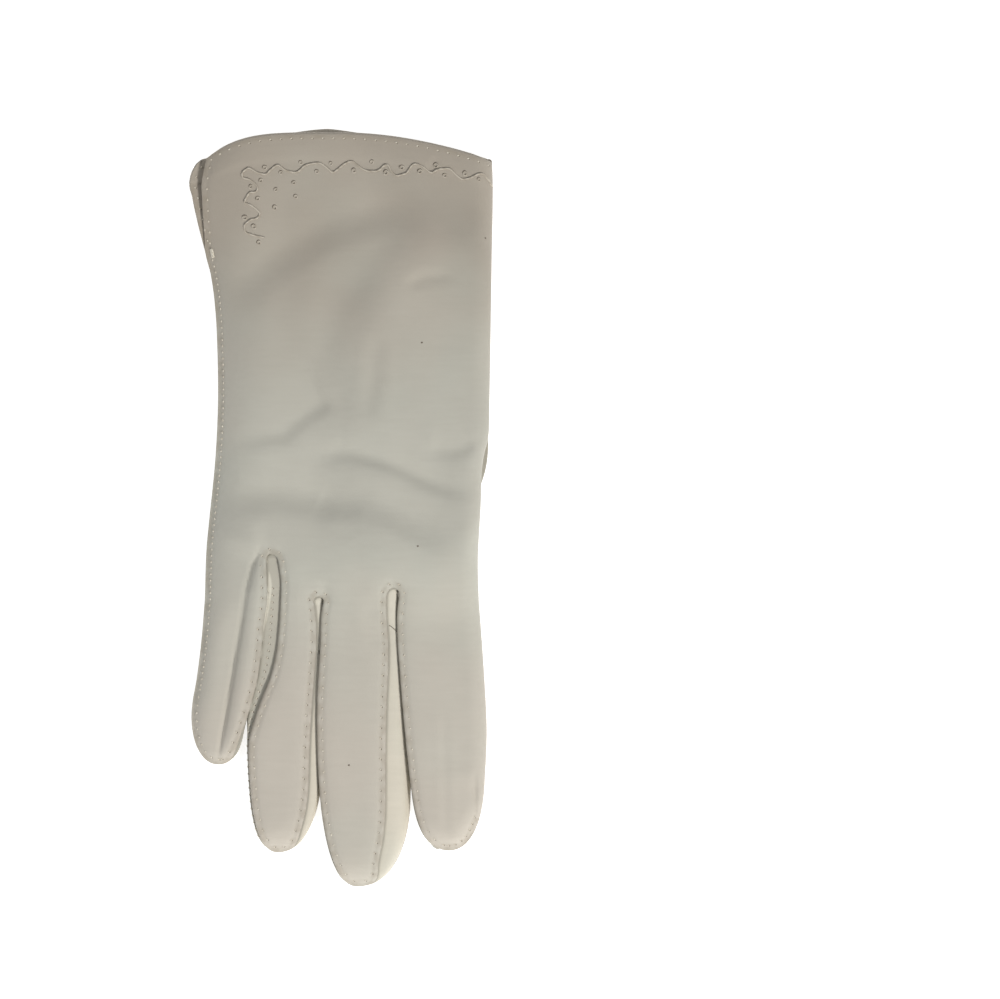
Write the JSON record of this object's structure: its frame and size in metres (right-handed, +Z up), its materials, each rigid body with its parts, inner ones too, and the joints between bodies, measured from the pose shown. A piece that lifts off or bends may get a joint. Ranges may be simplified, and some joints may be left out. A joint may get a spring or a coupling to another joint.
{
  "type": "embroidered glove",
  "caption": "Soft white cloth dress glove for the right hand, lying back up with its thumb folded under, a side vent at the cuff and an embroidered vine around it.",
  "frame": {"origin": "on the table under the middle of the glove's outline", "axes": "+Y from the fingertips to the open cuff, +Z up through the palm and the back, +X to the index side"},
  "size_m": [0.0982, 0.2458, 0.0136],
  "materials": {
    "cloth": "matt woven cotton",
    "strip_cloth": "matt woven cotton, a little lighter",
    "cord": "twisted embroidery thread"
  },
  "bodies": {
    "root": {"trank": "cloth", "fourchette_little_ring": "strip_cloth", "fourchette_ring_middle": "strip_cloth", "fourchette_middle_index": "strip_cloth", "thumb": "cloth", "embroidery_vine": "cord"}
  },
  "joints": []
}
